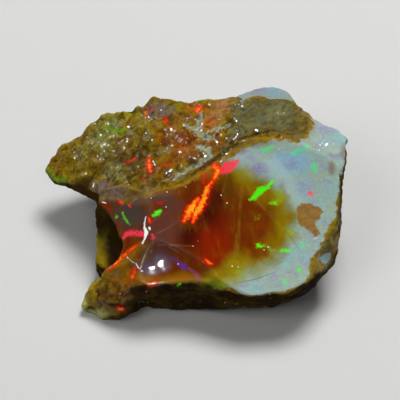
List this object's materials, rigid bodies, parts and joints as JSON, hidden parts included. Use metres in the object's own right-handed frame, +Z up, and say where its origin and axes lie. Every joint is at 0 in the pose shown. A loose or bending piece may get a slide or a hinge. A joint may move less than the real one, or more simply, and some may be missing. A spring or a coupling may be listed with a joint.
{
  "type": "rough opal",
  "caption": "Rough piece of Ethiopian opal: a shell-shaped fracture shows an amber core in milky opal, with host rock crust on the other sides.",
  "frame": {"origin": "middle of the stone's bounding box in plan, on the surface that it rests on", "axes": "+X to the right across the big fracture, along the stone's length; +Y to the back, away from the big fracture's low rim; +Z up"},
  "size_m": [0.0306, 0.0238, 0.0124],
  "materials": {
    "opal": "Opal, glassy where it is freshly broken and dull to glossy brown and grey-green on the host rock crust. Its colours run from a red-brown and amber core through yellow-green to a milky blue-white rim, with small red, orange and green flashes."
  },
  "bodies": {
    "root": {"rough_opal": "opal"}
  },
  "joints": []
}
